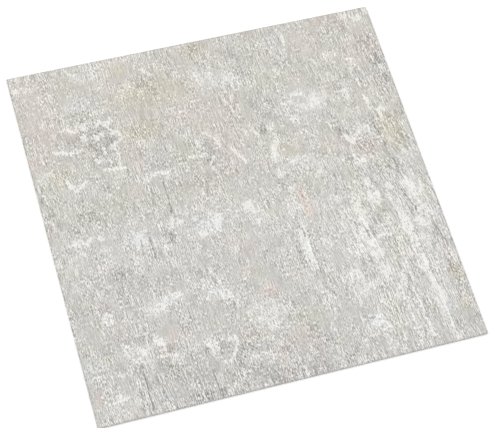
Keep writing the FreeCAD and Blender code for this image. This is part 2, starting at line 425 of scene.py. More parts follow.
# Faint yellow-brown stains.
OCHRE = blots(
    (-44, 113, 64, 24), (-58, 81, 34, 17), (-63, 141, 13, 14, 0.8), (1, 143, 20, 15, 0.9),
    (-30, 134, 6, 12, 0.5), (137, 34, 20, 32, 1.0, 6), (-134, 53, 10, 10, 0.7),
    (-126, 57, 16, 10, 0.4), (-134, 86, 6, 10, 0.6), (-111, 134, 14, 18, 0.4),
    (-131, -102, 10, 8, 0.6), (146, -97, 10, 16, 0.8), (145, -124, 12, 16, 0.6),
    (-22, -112, 24, 8, 0.5), (47, -4, 8, 14, 0.6, 4), (52, 38, 22, 14, 0.5), (80, 31, 12, 12, 0.4),
    (0, 27, 14, 8, 0.5), (-12, 73, 10, 8, 0.5), (114, -54, 8, 8, 0.4), (-133, -75, 7, 12, 0.4),
    (128, 138, 8, 10, 0.4),
)

# Faint reddish stains.
ROSE = blots(
    (-138, 115, 26, 70, 0.7), (-127, 112, 7, 22, 0.7), (-128, 94, 28, 12, 0.6),
    (-112, 88, 20, 10, 0.4), (-147, 72, 13, 8), (-105, 73, 16, 8, 0.6), (-69, 131, 22, 34, 0.8),
    (-54, 98, 34, 12, 0.7), (-70, 60, 12, 34, 0.8, 4), (-77, 30, 10, 12, 0.7), (-25, 85, 16, 12),
    (-17, 95, 20, 14, 0.5), (2, 62, 26, 62, 0.7, 6), (16, 90, 10, 14, 0.6), (-32, 107, 10, 8, 0.8),
    (-5, 145, 9, 11, 0.9), (-25, 22, 34, 34, 0.4), (28, 30, 12, 7, 0.9), (92, 33, 14, 12, 0.7),
    (112, 24, 20, 15), (134, 112, 36, 22, 0.9), (142, 127, 18, 12, 0.7), (112, 147, 22, 8, 0.9),
    (127, 143, 8, 14, 0.7), (50, 146, 14, 7, 0.8), (57, 126, 14, 12, 0.5), (92, 130, 26, 20, 0.5),
    (77, 102, 12, 12, 0.5), (122, 80, 12, 6, 0.8), (140, 82, 16, 8, 0.5), (50, -11, 8, 26, 1.0, 4),
    (-6, -38, 12, 11, 0.7), (-17, -30, 10, 16, 0.5), (-12, -58, 12, 10, 0.8), (3, -78, 14, 11),
    (-7, -79, 10, 8, 0.5), (22, -72, 12, 8, 0.4), (-82, -97, 10, 12), (-70, -96, 10, 12, 0.6),
    (-89, -106, 12, 6, 0.7), (-128, -62, 12, 8, 0.7), (-121, -84, 12, 16, 0.5),
    (-118, -30, 12, 8, 0.6), (-97, -42, 10, 6, 0.5), (-28, -107, 18, 7, 0.7),
    (-4, -130, 7, 16, 0.9), (14, -121, 26, 14, 0.8), (-4, -145, 8, 9, 0.8), (24, -136, 8, 20, 0.6),
    (-147, -130, 9, 14, 0.8), (113, -71, 10, 10, 0.6), (115, -90, 6, 8, 0.6),
    (145, -80, 10, 16, 0.5), (-147, 14, 9, 14, 0.6), (-80, -124, 6, 12, 0.5),
    (-122, -148, 14, 5, 0.5), (134, 45, 10, 12, 0.5),
)

# Faint greenish stains.
OLIVE = blots(
    (-141, 38, 16, 40, 0.7), (-105, 20, 50, 22, 0.7), (-92, 30, 12, 20, 0.6),
    (-45, 20, 56, 10, 0.6), (-62, 12, 26, 8, 0.6), (-107, 104, 30, 8, 0.8), (-118, 57, 30, 8, 0.6),
    (-90, 50, 30, 6, 0.5), (-30, 55, 18, 28, 0.9, 4), (-8, 10, 12, 16, 0.7), (28, 90, 14, 14, 0.6),
    (50, 106, 38, 22, 0.8), (85, 104, 24, 28, 0.7), (112, 94, 14, 12, 0.6), (110, 130, 14, 18, 0.6),
    (46, 133, 8, 10, 0.5), (40, 50, 24, 22, 0.5), (85, 48, 14, 14, 0.6), (134, 42, 12, 44, 0.6, 4),
    (96, 72, 6, 16, 0.6, 4), (120, 8, 22, 12, 0.7), (92, -2, 12, 50, 0.7, 2), (80, -29, 44, 9, 0.6),
    (108, -30, 12, 20, 0.7), (20, -12, 11, 13, 0.9), (-5, -23, 12, 8, 0.5), (146, -22, 8, 24, 0.6),
    (105, -70, 8, 30, 0.6), (114, -62, 12, 14, 0.5), (22, -107, 24, 22, 0.9),
    (89, -118, 10, 34, 0.8, 2), (117, -121, 8, 8, 0.6), (-140, -56, 16, 10, 0.7),
    (-143, -92, 20, 6, 0.7), (-48, -92, 12, 7, 0.6), (-22, -96, 12, 7, 0.6),
    (-86, -121, 10, 14, 0.7), (-47, -137, 14, 8, 0.5), (50, -73, 12, 7, 0.6), (25, -60, 12, 8, 0.5),
    (40, -131, 12, 9, 0.6), (-145, -28, 14, 12, 0.6), (62, 6, 16, 22, 0.6), (47, 8, 12, 8, 0.6),
    (-3, -62, 12, 14, 0.5), (44, -36, 10, 24, 0.5, 4),
)

# Faint bluish clouds.
SLATE = blots(
    (-30, -12, 24, 16), (-85, -12, 24, 16, 0.8), (-78, -20, 8, 10, 0.6), (-77, -67, 9, 8),
    (-89, -68, 14, 10, 0.6), (-38, -69, 16, 12, 0.9), (70, -122, 16, 10), (35, -46, 16, 14, 0.6),
    (50, 22, 16, 8, 0.8), (22, 111, 16, 9, 0.7), (4, 112, 16, 12, 0.4), (-98, 116, 22, 9, 0.8),
    (148, -45, 9, 14, 0.9), (130, -17, 12, 9, 0.6), (128, -97, 12, 14, 0.8),
    (-112, -102, 16, 12, 0.6), (-148, -106, 9, 12, 0.9), (-112, -6, 10, 14, 0.7),
    (-95, -141, 20, 8, 0.8), (-72, -147, 22, 8, 0.5), (132, -124, 14, 12, 0.7),
    (75, 72, 40, 28, 0.5), (66, 128, 10, 26, 0.5), (-56, 48, 24, 18, 0.5), (128, 90, 12, 10, 0.5),
    (20, -40, 12, 10, 0.5), (103, 2, 10, 8, 0.5), (-25, -132, 12, 8, 0.5),
)

# The few stronger reddish stains, laid over the others.
BLUSH = blots(
    (49, -12, 8, 24, 1.0, 4), (-82, -97, 9, 10, 0.6), (112, 24, 18, 14, 0.4),
    (-147, 72, 12, 7, 0.6), (3, -78, 12, 9, 0.4), (-26, 85, 14, 10, 0.4),
)

# Patches where long upright hairs stand out.
COMBED = blots(
    (100, -70, 90, 180, 1.0, 3), (140, 20, 30, 260, 1.0, 3), (95, 30, 16, 110, 0.8, 3),
    (40, -60, 20, 90, 0.7, 2), (-78, -16, 30, 44, 0.9), (-104, -130, 36, 50),
    (-60, -138, 40, 36, 0.6), (-50, -55, 50, 40, 0.5), (10, 85, 18, 60, 0.6, 2),
    (-70, 45, 16, 60, 0.6), (-143, 40, 14, 60, 0.6), (40, 110, 30, 50, 0.5),
    (-82, 140, 20, 40, 0.6), (-28, 140, 30, 26, 0.6),
)

# Calm patches, where the fine grain and its relief fade.
STILL = blots(
    (-58, 96, 34, 10), (-122, 90, 24, 10, 0.7), (-63, 138, 14, 18, 0.8), (3, 80, 14, 12, 0.9),
    (10, 60, 9, 11, 0.7), (-34, 64, 9, 8), (84, 76, 26, 18, 0.9), (56, 36, 18, 14, 0.8),
    (120, 128, 8, 12, 0.8), (134, 33, 8, 12, 0.7), (113, 43, 8, 6, 0.9),
    (135, -18, 14, 30, 0.9, 10), (88, -62, 12, 16, 0.9), (64, -28, 10, 8), (-142, -26, 12, 8),
    (-106, -7, 10, 6, 0.9), (-11, -44, 8, 6), (6, -68, 14, 12, 0.8), (62, -66, 16, 14, 0.8),
    (-82, -94, 8, 8), (126, -115, 8, 30, 0.8), (2, -24, 10, 12, 0.6), (-42, 10, 14, 8, 0.5),
    (10, 108, 30, 18, 0.5), (75, -22, 12, 8, 0.7), (22, -12, 10, 8, 0.7), (145, 108, 10, 16, 0.6),
    (-132, 22, 12, 8, 0.6),
)


@dataclass(frozen=True)
class PrintDesign:
    """Where every layer of the print lies, and how hard the grain is pressed into the face."""

    inks: dict[Layer, tuple[Blot, ...]]
    lime_marks: tuple[Mark, ...]
    cracks: tuple[Mark, ...]
    fibre_depth: float = 0.055
    pore_depth: float = 0.03
    crack_depth: float = 0.08
    wear_depth: float = 0.03
    still_share: float = 0.6

    def masks(self, sheet: Sheet) -> dict[Layer, np.ndarray]:
        """Lays every layer on the sheet. Blots are pushed about by up to 5 mm, marks by 1 mm.

        Args:
            sheet: The points to lay it on.

        Returns:
            For each layer its value at each point, from 0 to 1, or -1 to 1 for the fibre.
        """
        ragged = Sheet(
            sheet.x + 2.6 * sheet.noise(7, 9, seed=11) + 1.4 * sheet.noise(2.6, 4, seed=12),
            sheet.y + 3.0 * sheet.noise(8, 9, seed=13) + 1.8 * sheet.noise(3, 5, seed=14),
        )
        wavy = Sheet(
            sheet.x + 0.7 * sheet.noise(5, 7, seed=15) + 0.3 * sheet.noise(1.6, 3, seed=16),
            sheet.y + 0.7 * sheet.noise(6, 6, seed=17),
        )
        made = {
            layer: np.clip(total(blot.cover(ragged) for blot in laid), 0, 1)
            for layer, laid in self.inks.items()
        }
        made[Layer.LIME_MARK] = strongest(mark.cover(wavy) for mark in self.lime_marks)
        made[Layer.CRACK] = strongest(mark.cover(wavy) for mark in self.cracks)
        made[Layer.FIBRE] = self.fibre(sheet)
        return made

    def fibre(self, sheet: Sheet) -> np.ndarray:
        """The pressed grain: two sizes of long noise added up.

        Args:
            sheet: The points.

        Returns:
            The grain at each point, from -1 in a groove to 1 on a ridge.
        """
        grain = sheet.along_grain()
        fine = grain.noise(1.7, 5.0, seed=21)
        coarse = grain.noise(3.1, 12.0, seed=22)
        return np.clip(1.1 * fine + 0.7 * coarse, -1, 1)

    def depth(self, sheet: Sheet, masks: dict[Layer, np.ndarray]) -> np.ndarray:
        """How far each point of the face lies below its highest level.

        It is the sum of the fibres' grooves, round pores, cracks and worn patches.

        Args:
            sheet: The points.
            masks: The layers on them.

        Returns:
            The depth at each point, in millimetres.
        """
        calm = 1 - self.still_share * masks[Layer.STILL]
        grooves = self.fibre_depth * (0.5 - 0.5 * masks[Layer.FIBRE]) * calm
        pores = self.pore_depth * np.clip(sheet.noise(2.2, 3.4, seed=31) - 0.25, 0, 1)
        worn = self.wear_depth * masks[Layer.WORN_GREY]
        core = np.clip(2 * masks[Layer.CRACK] - 0.6, 0, 1)
        return grooves + pores + worn + self.crack_depth * core


def strongest(parts: Iterable[np.ndarray]) -> np.ndarray:
    """The largest value of several arrays of one shape at each place."""
    return np.maximum.reduce(list(parts))


def total(parts: Iterable[np.ndarray]) -> np.ndarray:
    """Adds up arrays of one shape."""
    return np.sum(list(parts), axis=0)


class Part(Enum):
    """The three surfaces of the tile. The number is the material slot of the surface's finish."""

    FACE = 0
    EDGE = 1
    BACK = 2


@dataclass(frozen=True)
class Block:
    """Faces of one surface, with the map's place for each of their corners."""

    faces: np.ndarray
    part: Part
    places: np.ndarray


@dataclass(frozen=True)
class TileSheet:
    """The tile as one closed mesh: an embossed face, a rolled edge, cut sides and a flat back.

    The map's boxes are a low and a high side. The face fills a large square of the map, the back
    the strip beside it, and the cut sides the strips above it.
    """

    length: float
    width: float
    thickness: float
    design: PrintDesign
    corner_radius: float = 0.8
    rolled_edge: float = 0.3
    columns: int = 376
    rows: int = 224
    corner_steps: int = 3
    roll_steps: int = 4
    back_step: int = 4
    back_margin: float = 1.5
    face_map: tuple[float, float] = (0.004, 0.824)
    spare_map: tuple[float, float] = (0.832, 0.996)
    whole_map: tuple[float, float] = (0.004, 0.996)
    roll_share: float = 0.3
    strip_fill: float = 0.9
    sharp_angle: float = 50.0

    def lines(self, size: float, count: int) -> np.ndarray:
        """The grid's lines over one side of the flat face, close together inside the corners.

        Args:
            size: The tile's size that way.
            count: How many gaps there are between lines.

        Returns:
            The lines' places, from one rim of the flat face to the other.
        """
        rim = size / 2 - self.rolled_edge
        corner = size / 2 - self.corner_radius
        inner = np.linspace(-corner, corner, count - 2 * self.corner_steps + 1)
        ends = np.linspace(corner, rim, self.corner_steps + 1)[1:]
        return np.concatenate([-ends[::-1], inner, ends])

    def inner_corner(self, x: np.ndarray, y: np.ndarray) -> tuple[np.ndarray, np.ndarray]:
        """Finds the nearest point of the rectangle through the four corner arcs' centres.

        Args:
            x, y: The points to start from.

        Returns:
            The nearest points' x and y.
        """
        reach_x = self.length / 2 - self.corner_radius
        reach_y = self.width / 2 - self.corner_radius
        return np.clip(x, -reach_x, reach_x), np.clip(y, -reach_y, reach_y)

    def rounded(self, x: np.ndarray, y: np.ndarray) -> tuple[np.ndarray, np.ndarray]:
        """Slides the points of each corner square towards its arc's centre, onto round loops.

        A point's distance from the centre becomes the larger of its two offsets from there, so
        that the square's outer sides turn into the arc and points elsewhere stay.

        Args:
            x, y: The points.

        Returns:
            Their new places.
        """
        centre_x, centre_y = self.inner_corner(x, y)
        dx, dy = x - centre_x, y - centre_y
        away = np.hypot(dx, dy)
        scale = np.maximum(abs(dx), abs(dy)) / np.where(away > 0, away, 1)
        return centre_x + dx * scale, centre_y + dy * scale

    @staticmethod
    def loop(rows: int, columns: int) -> np.ndarray:
        """The vertices round a grid's rim, against the clock from the near left corner.

        Args:
            rows, columns: How many gaps the grid has each way.

        Returns:
            The vertices' numbers.
        """
        index = np.arange((rows + 1) * (columns + 1)).reshape(rows + 1, columns + 1)
        return np.concatenate(
            [index[0, :-1], index[:-1, -1], index[-1, :0:-1], index[:0:-1, 0]]
        )

    @staticmethod
    def cells(rows: int, columns: int) -> np.ndarray:
        """The four-sided faces of a grid, against the clock from above.

        Args:
            rows, columns: How many gaps the grid has each way.

        Returns:
            The numbers of each face's four vertices.
        """
        index = np.arange((rows + 1) * (columns + 1)).reshape(rows + 1, columns + 1)
        corners = [index[:-1, :-1], index[:-1, 1:], index[1:, 1:], index[1:, :-1]]
        return np.stack(corners, -1).reshape(-1, 4)

    def build(self, name: str) -> bpy.types.Object:
        """Makes the mesh, its masks and its map.

        Args:
            name: The object's name.

        Returns:
            The tile, at the origin, with its places in its mesh in metres.
        """
        grid_x, grid_y = np.meshgrid(
            self.lines(self.length, self.columns), self.lines(self.width, self.rows)
        )
        sheet = Sheet(*self.rounded(grid_x.ravel(), grid_y.ravel()))
        masks = self.design.masks(sheet)
        depth = self.design.depth(sheet, masks)
        face = np.stack([sheet.x, sheet.y, self.thickness - depth], -1)
        rim = self.loop(self.rows, self.columns)
        rings = self.edge_rings(face[rim, :2], depth[rim])
        back = self.back_grid()
        points = np.concatenate([face, rings.reshape(-1, 3), back])

        blocks = self.face_blocks(rim, len(face), len(rings))
        mesh = bpy.data.meshes.new(name)
        mesh.from_pydata((points * MM).tolist(), [], [f for b in blocks for f in b.faces.tolist()])
        mesh.polygons.foreach_set(
            "material_index", np.concatenate([np.full(len(b.faces), b.part.value) for b in blocks])
        )
        mesh.polygons.foreach_set("use_smooth", np.ones(len(mesh.polygons), bool))
        uv = mesh.uv_layers.new(name="OFBake")
        uv.uv.foreach_set(
            "vector", np.concatenate([b.places.ravel() for b in blocks]).astype(np.float32)
        )
        grain = sheet.along_grain()
        grain_place = np.stack([grain.x, grain.y, 0 * grain.x], -1)
        self.store(mesh, GRAIN_PLACE, grain_place, rim, len(rings))
        for layer, values in masks.items():
            self.store(mesh, layer.value, values, rim, len(rings))
        mesh.set_sharp_from_angle(angle=math.radians(self.sharp_angle))
        mesh.update()
        mesh.validate()
        tile = bpy.data.objects.new(name, mesh)
        bpy.context.collection.objects.link(tile)
        return tile

    def edge_rings(self, rim: np.ndarray, rim_depth: np.ndarray) -> np.ndarray:
        """The loops below the face's rim: a quarter round down to the side, then the back's edge.

        At a turn t of the quarter round, a loop stands sin(t) of the radius further out and
        1 - cos(t) lower, and the face's relief fades with cos(t).

        Args:
            rim: The face's rim, as x and y.
            rim_depth: How deep the relief is there.

        Returns:
            The loops as an array of loop, point and x, y, z.
        """
        centre_x, centre_y = self.inner_corner(rim[:, 0], rim[:, 1])
        out = rim - np.stack([centre_x, centre_y], -1)
        out /= np.hypot(out[:, 0], out[:, 1])[:, None]
        loops = []
        for turn in np.linspace(0, math.pi / 2, self.roll_steps + 1)[1:]:
            at = rim + out * self.rolled_edge * math.sin(turn)
            drop = self.rolled_edge * (1 - math.cos(turn)) + rim_depth * math.cos(turn)
            loops.append(np.column_stack([at, self.thickness - drop]))
        loops.append(np.column_stack([at, np.zeros(len(rim))]))
        return np.stack(loops)

    def back_grid(self) -> np.ndarray:
        """The coarse grid of the back, a little inside the tile's edge.

        Returns:
            Its vertices, as x, y and z.
        """
        lines = [
            self.lines(size, count)[:: self.back_step] * (1 - 2 * self.back_margin / size)
            for size, count in ((self.length, self.columns), (self.width, self.rows))
        ]
        x, y = np.meshgrid(*lines)
        return np.stack([x.ravel(), y.ravel(), np.zeros(x.size)], -1)

    def face_blocks(self, rim: np.ndarray, face_count: int, ring_count: int) -> list[Block]:
        """Joins the grids and loops into faces, block by block.

        Args:
            rim: The face grid's vertices round its rim.
            face_count: How many vertices the face grid has.
            ring_count: How many loops lie below the rim.

        Returns:
            The printed face, the rolled edge, the cut side and the back.
        """
        around = len(rim)
        loops = [rim] + [face_count + around * k + np.arange(around) for k in range(ring_count)]
        face_faces = self.cells(self.rows, self.columns)
        face_places = self.grid_places(1, self.face_map, self.face_map)
        blocks = [Block(face_faces, Part.FACE, face_places[face_faces])]
        for k, (upper, lower) in enumerate(zip(loops, loops[1:])):
            quads = np.stack([upper, lower, np.roll(lower, -1), np.roll(upper, -1)], -1)
            part = Part.EDGE if k == ring_count - 1 else Part.FACE
            blocks.append(Block(quads, part, self.side_places(k, ring_count)))
        return blocks + self.back_blocks(rim, loops[-1])

    def back_blocks(self, rim: np.ndarray, last_loop: np.ndarray) -> list[Block]:
        """Closes the back: a border from the cut edge to the back's coarse grid, and the grid.

        Args:
            rim: The face grid's vertices round its rim.
            last_loop: The lowest loop's vertices. Those of the back's grid follow them.

        Returns:
            The border and the grid.
        """
        start = last_loop[-1] + 1
        rows, columns = self.rows // self.back_step, self.columns // self.back_step
        grid_faces = self.cells(rows, columns)[:, ::-1]
        grid_places = self.grid_places(self.back_step, self.spare_map, self.whole_map)
        inner = self.loop(rows, columns)
        following = np.roll(inner, -1)
        steps = range(self.back_step, -1, -1)
        outer = np.stack([np.roll(last_loop, -s)[:: self.back_step] for s in steps], -1)
        border = np.column_stack([start + inner, start + following, outer])
        rim_places = self.grid_places(1, self.spare_map, self.whole_map)[rim]
        inner_places = [grid_places[inner][:, None], grid_places[following][:, None]]
        border_places = np.concatenate([*inner_places, rim_places[outer - last_loop[0]]], axis=1)
        return [
            Block(border, Part.BACK, border_places),
            Block(start + grid_faces, Part.BACK, grid_places[grid_faces]),
        ]

    def grid_places(
        self, step: int, across: tuple[float, float], along: tuple[float, float]
    ) -> np.ndarray:
        """A grid's places in a box of the map.

        Args:
            step: How many gaps of the face's grid make one gap of this grid.
            across, along: The box's low and high side each way.

        Returns:
            The place of each vertex, as u and v.
        """
        margin = self.back_margin if step > 1 else self.rolled_edge
        sides = ((self.length, self.columns, across), (self.width, self.rows, along))
        places = []
        for size, count, (low, high) in sides:
            line = self.lines(size, count)[::step]
            line = line / line[-1] * (0.5 - margin / size)
            places.append(low + (high - low) * (line + 0.5))
        u, v = np.meshgrid(*places)
        return np.stack([u.ravel(), v.ravel()], -1)

    def side_places(self, ring: int, ring_count: int) -> np.ndarray:
        """The map's places for one loop of side faces: four strips above the face's square.

        Args:
            ring: Which loop of faces, from 0 at the face's rim.
            ring_count: How many there are.

        Returns:
            For each face its four corners, as u and v.
        """
        heights = np.append(np.linspace(0, self.roll_share, ring_count), 1.0)
        strip = (self.spare_map[1] - self.spare_map[0]) / 4
        fill = self.strip_fill
        low, high = self.face_map
        places = []
        for side, count in enumerate((self.columns, self.rows) * 2):
            share = np.arange(count + 1) / count
            u = low + (high - low) * share
            top = self.spare_map[0] + strip * (side + fill * (1 - heights[ring]))
            bottom = self.spare_map[0] + strip * (side + fill * (1 - heights[ring + 1]))
            start, end = u[:-1], u[1:]
            upper, lower = np.full(count, top), np.full(count, bottom)
            corners = [(start, upper), (start, lower), (end, lower), (end, upper)]
            places.append(np.stack([np.stack(c, -1) for c in corners], 1))
        return np.concatenate(places)

    def store(
        self, mesh: bpy.types.Mesh, name: str, values: np.ndarray, rim: np.ndarray, rings: int
    ) -> None:
        """Keeps a field of the face on the mesh. The edge repeats the rim, and the back has zeros.

        Args:
            mesh: The tile's mesh.
            name: The attribute's name.
            values: One number or one vector for each vertex of the face grid.
            rim: The face grid's vertices round its rim.
            rings: How many loops lie below the rim.
        """
        edge = np.concatenate([values[rim]] * rings)
        rest = np.zeros((len(mesh.vertices) - len(values) - len(edge), *values.shape[1:]))
        kind, key = ("FLOAT", "value") if values.ndim == 1 else ("FLOAT_VECTOR", "vector")
        made = mesh.attributes.new(name, kind, "POINT")
        made.data.foreach_set(key, np.concatenate([values, edge, rest]).astype(np.float32).ravel())


class ShaderGraph:
    """A material's nodes, built in code."""

    def __init__(self, name: str) -> None:
        """Starts an empty material.

        Args:
            name: The material's name.
        """
        self.material = bpy.data.materials.new(name)
        self.material.use_nodes = True
        self.tree = self.material.node_tree
        self.tree.nodes.clear()

    def node(
        self,
        kind: str,
        settings: dict[str, Any] | None = None,
        sockets: dict[str | int, Any] | None = None,
    ) -> bpy.types.Node:
        """Adds any node.

        Args:
            kind: The node's type, without the ShaderNode that they all start with.
            settings: Its own settings, set first.
            sockets: A value or a link for each input, by name or number.

        Returns:
            The node.
        """
        made = self.tree.nodes.new("ShaderNode" + kind)
        for key, value in (settings or {}).items():
            setattr(made, key, value)
        for key, value in (sockets or {}).items():
            if isinstance(value, (Signal, bpy.types.NodeSocket)):
                source = value.socket if isinstance(value, Signal) else value
                self.tree.links.new(source, made.inputs[key])
            else:
                made.inputs[key].default_value = value
        return made

    def attribute(self, name: str, output: str) -> bpy.types.NodeSocket:
        """Reads a field that the mesh holds."""
        settings = {"attribute_type": "GEOMETRY", "attribute_name": name}
        return self.node("Attribute", settings).outputs[output]

    def mask(self, layer: Layer) -> "Signal":
        """Reads a layer's mask."""
        return Signal(self, self.attribute(layer.value, "Fac"))

    def place(self, scale: tuple[float, float, float], grain: bool = False) -> Any:
        """The place on the tile, scaled.

        Args:
            scale: The factors along X, Y and Z, for a place in millimetres.
            grain: Whether to follow the grain's lean, which only the printed face has.

        Returns:
            The socket of the scaled place.
        """
        if grain:
            source = self.attribute(GRAIN_PLACE, "Vector")
        else:
            source = self.node("TexCoord").outputs["Object"]
            scale = tuple(s / MM for s in scale)
        mapping = self.node("Mapping", {"vector_type": "POINT"}, {"Vector": source, "Scale": scale})
        return mapping.outputs["Vector"]

    def coordinate(self, axis: str) -> "Signal":
        """How far a point lies along X, Y or Z from the tile's origin, in millimetres."""
        parts = self.node("SeparateXYZ", None, {0: self.place((1.0, 1.0, 1.0))})
        return Signal(self, parts.outputs[axis])

    def noise(
        self,
        across: float,
        along: float,
        detail: float = 2.0,
        grain: bool = True,
        rough: float = 0.5,
        shift: float = 0.0,
    ) -> "Signal":
        """A random field whose blots are about so many millimetres across and along, around 0.

        Args:
            across, along: The size of its cells.
            detail: How many finer sizes are laid over it.
            grain: Whether it follows the grain's lean.
            rough: How strong each finer size is beside the one before.
            shift: How much the field is bent by itself.

        Returns:
            The field, from about -1 to 1.
        """
        sockets = {
            "Vector": self.place((1 / across, 1 / along, 1 / across), grain),
            "Scale": 1.0,
            "Detail": detail,
            "Roughness": rough,
            "Distortion": shift,
        }
        made = self.node("TexNoise", {"noise_dimensions": "3D"}, sockets)
        return Signal(self, made.outputs["Fac"]) * 2.0 - 1.0

    def blend(self, share: Any, first: Any, second: Any) -> Any:
        """Mixes two colours: first where share is 0, second where it is 1."""
        settings = {"data_type": "RGBA", "clamp_factor": True}
        return self.node("Mix", settings, {0: share, 6: first, 7: second}).outputs[2]

    def shade(self, colour: Any, level: "Signal") -> Any:
        """Multiplies a colour by a number.

        Args:
            colour: The colour's value or socket.
            level: The number, the same for red, green and blue.

        Returns:
            The shaded colour's socket.
        """
        grey = self.node("CombineXYZ", None, {"X": level, "Y": level, "Z": level}).outputs[0]
        settings = {"operation": "MULTIPLY"}
        return self.node("VectorMath", settings, {0: colour, 1: grey}).outputs[0]

    def finish(self, sockets: dict[str, Any]) -> bpy.types.Material:
        """Ends the nodes in a surface with these inputs.

        Args:
            sockets: Values and links for the surface shader.

        Returns:
            The material.
        """
        surface = self.node("BsdfPrincipled", None, sockets)
        self.node("OutputMaterial", None, {"Surface": surface.outputs["BSDF"]})
        return self.material

    def bump(self, height: "Signal", strength: float, distance: float) -> Any:
        """Turns a height from about -1 to 1, so many millimetres deep, into a surface normal."""
        sockets = {"Height": height, "Strength": strength, "Distance": distance * MM}
        return self.node("Bump", None, sockets).outputs["Normal"]


class Signal:
    """A node's number output that takes arithmetic. Each operation adds one Math node."""

    def __init__(self, graph: ShaderGraph, socket: bpy.types.NodeSocket) -> None:
        """Wraps a socket of the graph."""
        self.graph = graph
        self.socket = socket

    def math(self, operation: str, *values: Any) -> "Signal":
        """Adds a Math node that takes these values.

        Args:
            operation: The node's operation.
            values: Numbers and signals for its inputs.

        Returns:
            Its output.
        """
        made = self.graph.node("Math", {"operation": operation}, dict(enumerate(values)))
        return Signal(self.graph, made.outputs[0])

    def __add__(self, other: Any) -> "Signal":
        """self + other"""
        return self.math("ADD", self, other)

    def __radd__(self, other: Any) -> "Signal":
        """other + self"""
        return self.math("ADD", other, self)

    def __sub__(self, other: Any) -> "Signal":
        """self - other"""
        return self.math("SUBTRACT", self, other)

    def __rsub__(self, other: Any) -> "Signal":
        """other - self"""
        return self.math("SUBTRACT", other, self)

    def __mul__(self, other: Any) -> "Signal":
        """self * other"""
        return self.math("MULTIPLY", self, other)

    def __rmul__(self, other: Any) -> "Signal":
        """other * self"""
        return self.math("MULTIPLY", other, self)

    def size(self) -> "Signal":
        """The signal without its sign."""
        return self.math("ABSOLUTE", self)

    def sine(self) -> "Signal":
        """The sine of the signal, which is in radians."""
        return self.math("SINE", self)

    def or_more(self, other: Any) -> "Signal":
        """The larger of the signal and another."""
        return self.math("MAXIMUM", self, other)

    def ridge(self, middle: float, reach: float) -> "Signal":
        """1 where the signal is at middle, falling evenly to 0 at that reach from it."""
        return (1 - (1 / reach) * (self - middle).size()).within(0.0, 1.0)

    def within(self, low: float, high: float) -> "Signal":
        """The signal held between two limits."""
        return self.math("MINIMUM", self.or_more(low), high)

    def step(self, low: float, high: float) -> "Signal":
        """A smooth step, which rises as 3t^2 - 2t^3.

        Args:
            low, high: Where it starts to rise from 0, and where it gets to 1.

        Returns:
            The step.
        """
        settings = {"interpolation_type": "SMOOTHSTEP"}
        sockets = {"Value": self, "From Min": low, "From Max": high}
        made = self.graph.node("MapRange", settings, sockets)
        return Signal(self.graph, made.outputs["Result"])


@dataclass(frozen=True)
class Grain:
    """The fine fields of the printed face, from about -1 to 1 where nothing else is said.

    Strokes are short upright dashes and hairs long ones. Scratches are pairs of a dark and a pale
    line. Fibres are broad bands. Flecks are pale specks and chips dark ones, and both gather in a
    cluster. Curls are white lines, and curl shadows are painted shade along one side of each curl,
    both from 0 to 1. The cloud is a wide change of tone. Busy says how strong the fine grain is at
    a place, and is never negative.
    """

    strokes: Signal
    hairs: Signal
    scratches: Signal
    fibres: Signal
    flecks: Signal
    chips: Signal
    cluster: Signal
    curls: Signal
    curl_shadows: Signal
    cloud: Signal
    busy: Signal


